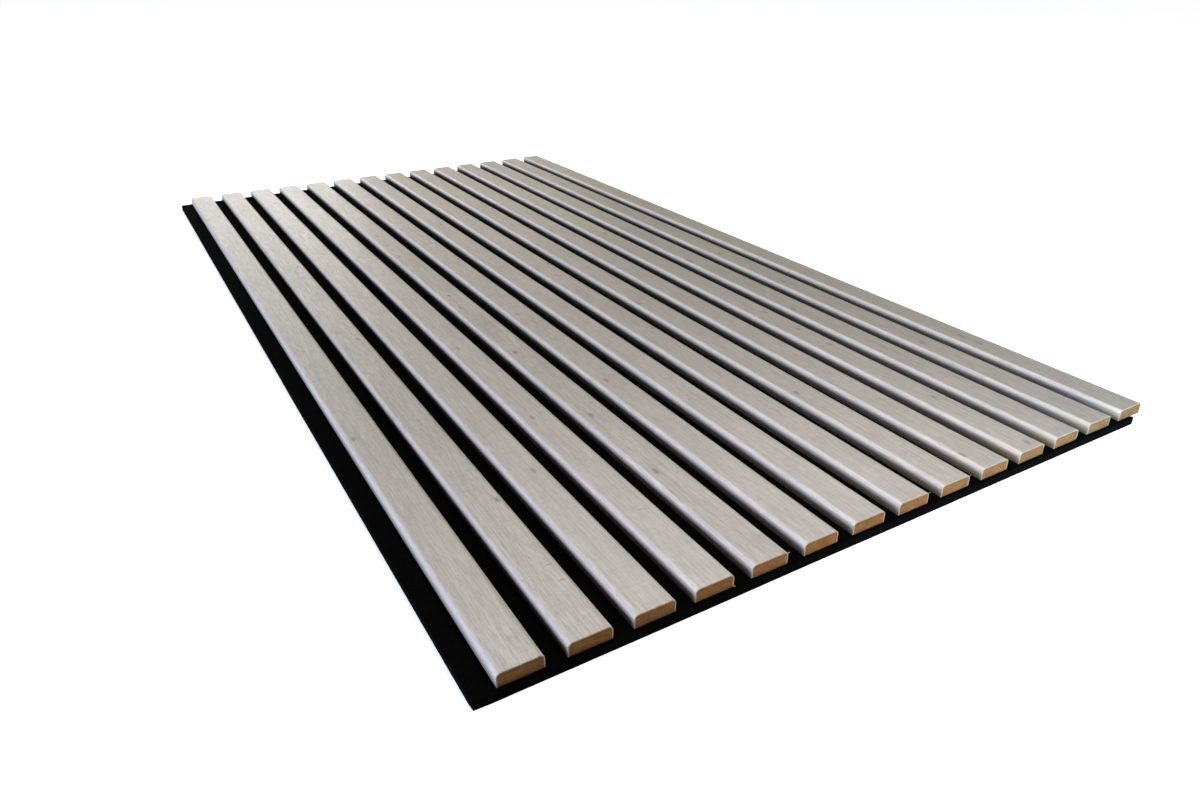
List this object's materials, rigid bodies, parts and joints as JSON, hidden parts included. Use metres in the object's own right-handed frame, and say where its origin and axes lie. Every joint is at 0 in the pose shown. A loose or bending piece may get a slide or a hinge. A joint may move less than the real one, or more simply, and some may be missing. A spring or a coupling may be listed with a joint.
{
  "type": "slatted acoustic panel",
  "caption": "Slatted acoustic wall panel: wood-decor slats with rounded shoulders on a black felt sheet, with a felt lip on one side and an overhanging slat on the other.",
  "frame": {"origin": "middle of the panel's outline, on the felt's back face", "axes": "+X across the slats towards the overhanging last slat, +Y along the slats, +Z out of the wall"},
  "size_m": [0.5616, 1.036, 0.015],
  "materials": {
    "felt": "black needled felt",
    "fibreboard": "sawn fibreboard",
    "decor": "satin light greige oak decor",
    "staple_wire": "galvanised wire"
  },
  "bodies": {
    "root": {"felt_backing": "felt", "slat_core_01": "fibreboard", "slat_core_02": "fibreboard", "slat_core_03": "fibreboard", "slat_core_04": "fibreboard", "slat_core_05": "fibreboard", "slat_core_06": "fibreboard", "slat_core_07": "fibreboard", "slat_core_08": "fibreboard", "slat_core_09": "fibreboard", "slat_core_10": "fibreboard", "slat_core_11": "fibreboard", "slat_core_12": "fibreboard", "slat_core_13": "fibreboard", "slat_core_14": "fibreboard", "slat_wrap_01": "decor", "slat_wrap_02": "decor", "slat_wrap_03": "decor", "slat_wrap_04": "decor", "slat_wrap_05": "decor", "slat_wrap_06": "decor", "slat_wrap_07": "decor", "slat_wrap_08": "decor", "slat_wrap_09": "decor", "slat_wrap_10": "decor", "slat_wrap_11": "decor", "slat_wrap_12": "decor", "slat_wrap_13": "decor", "slat_wrap_14": "decor", "staples": "staple_wire"}
  },
  "joints": []
}
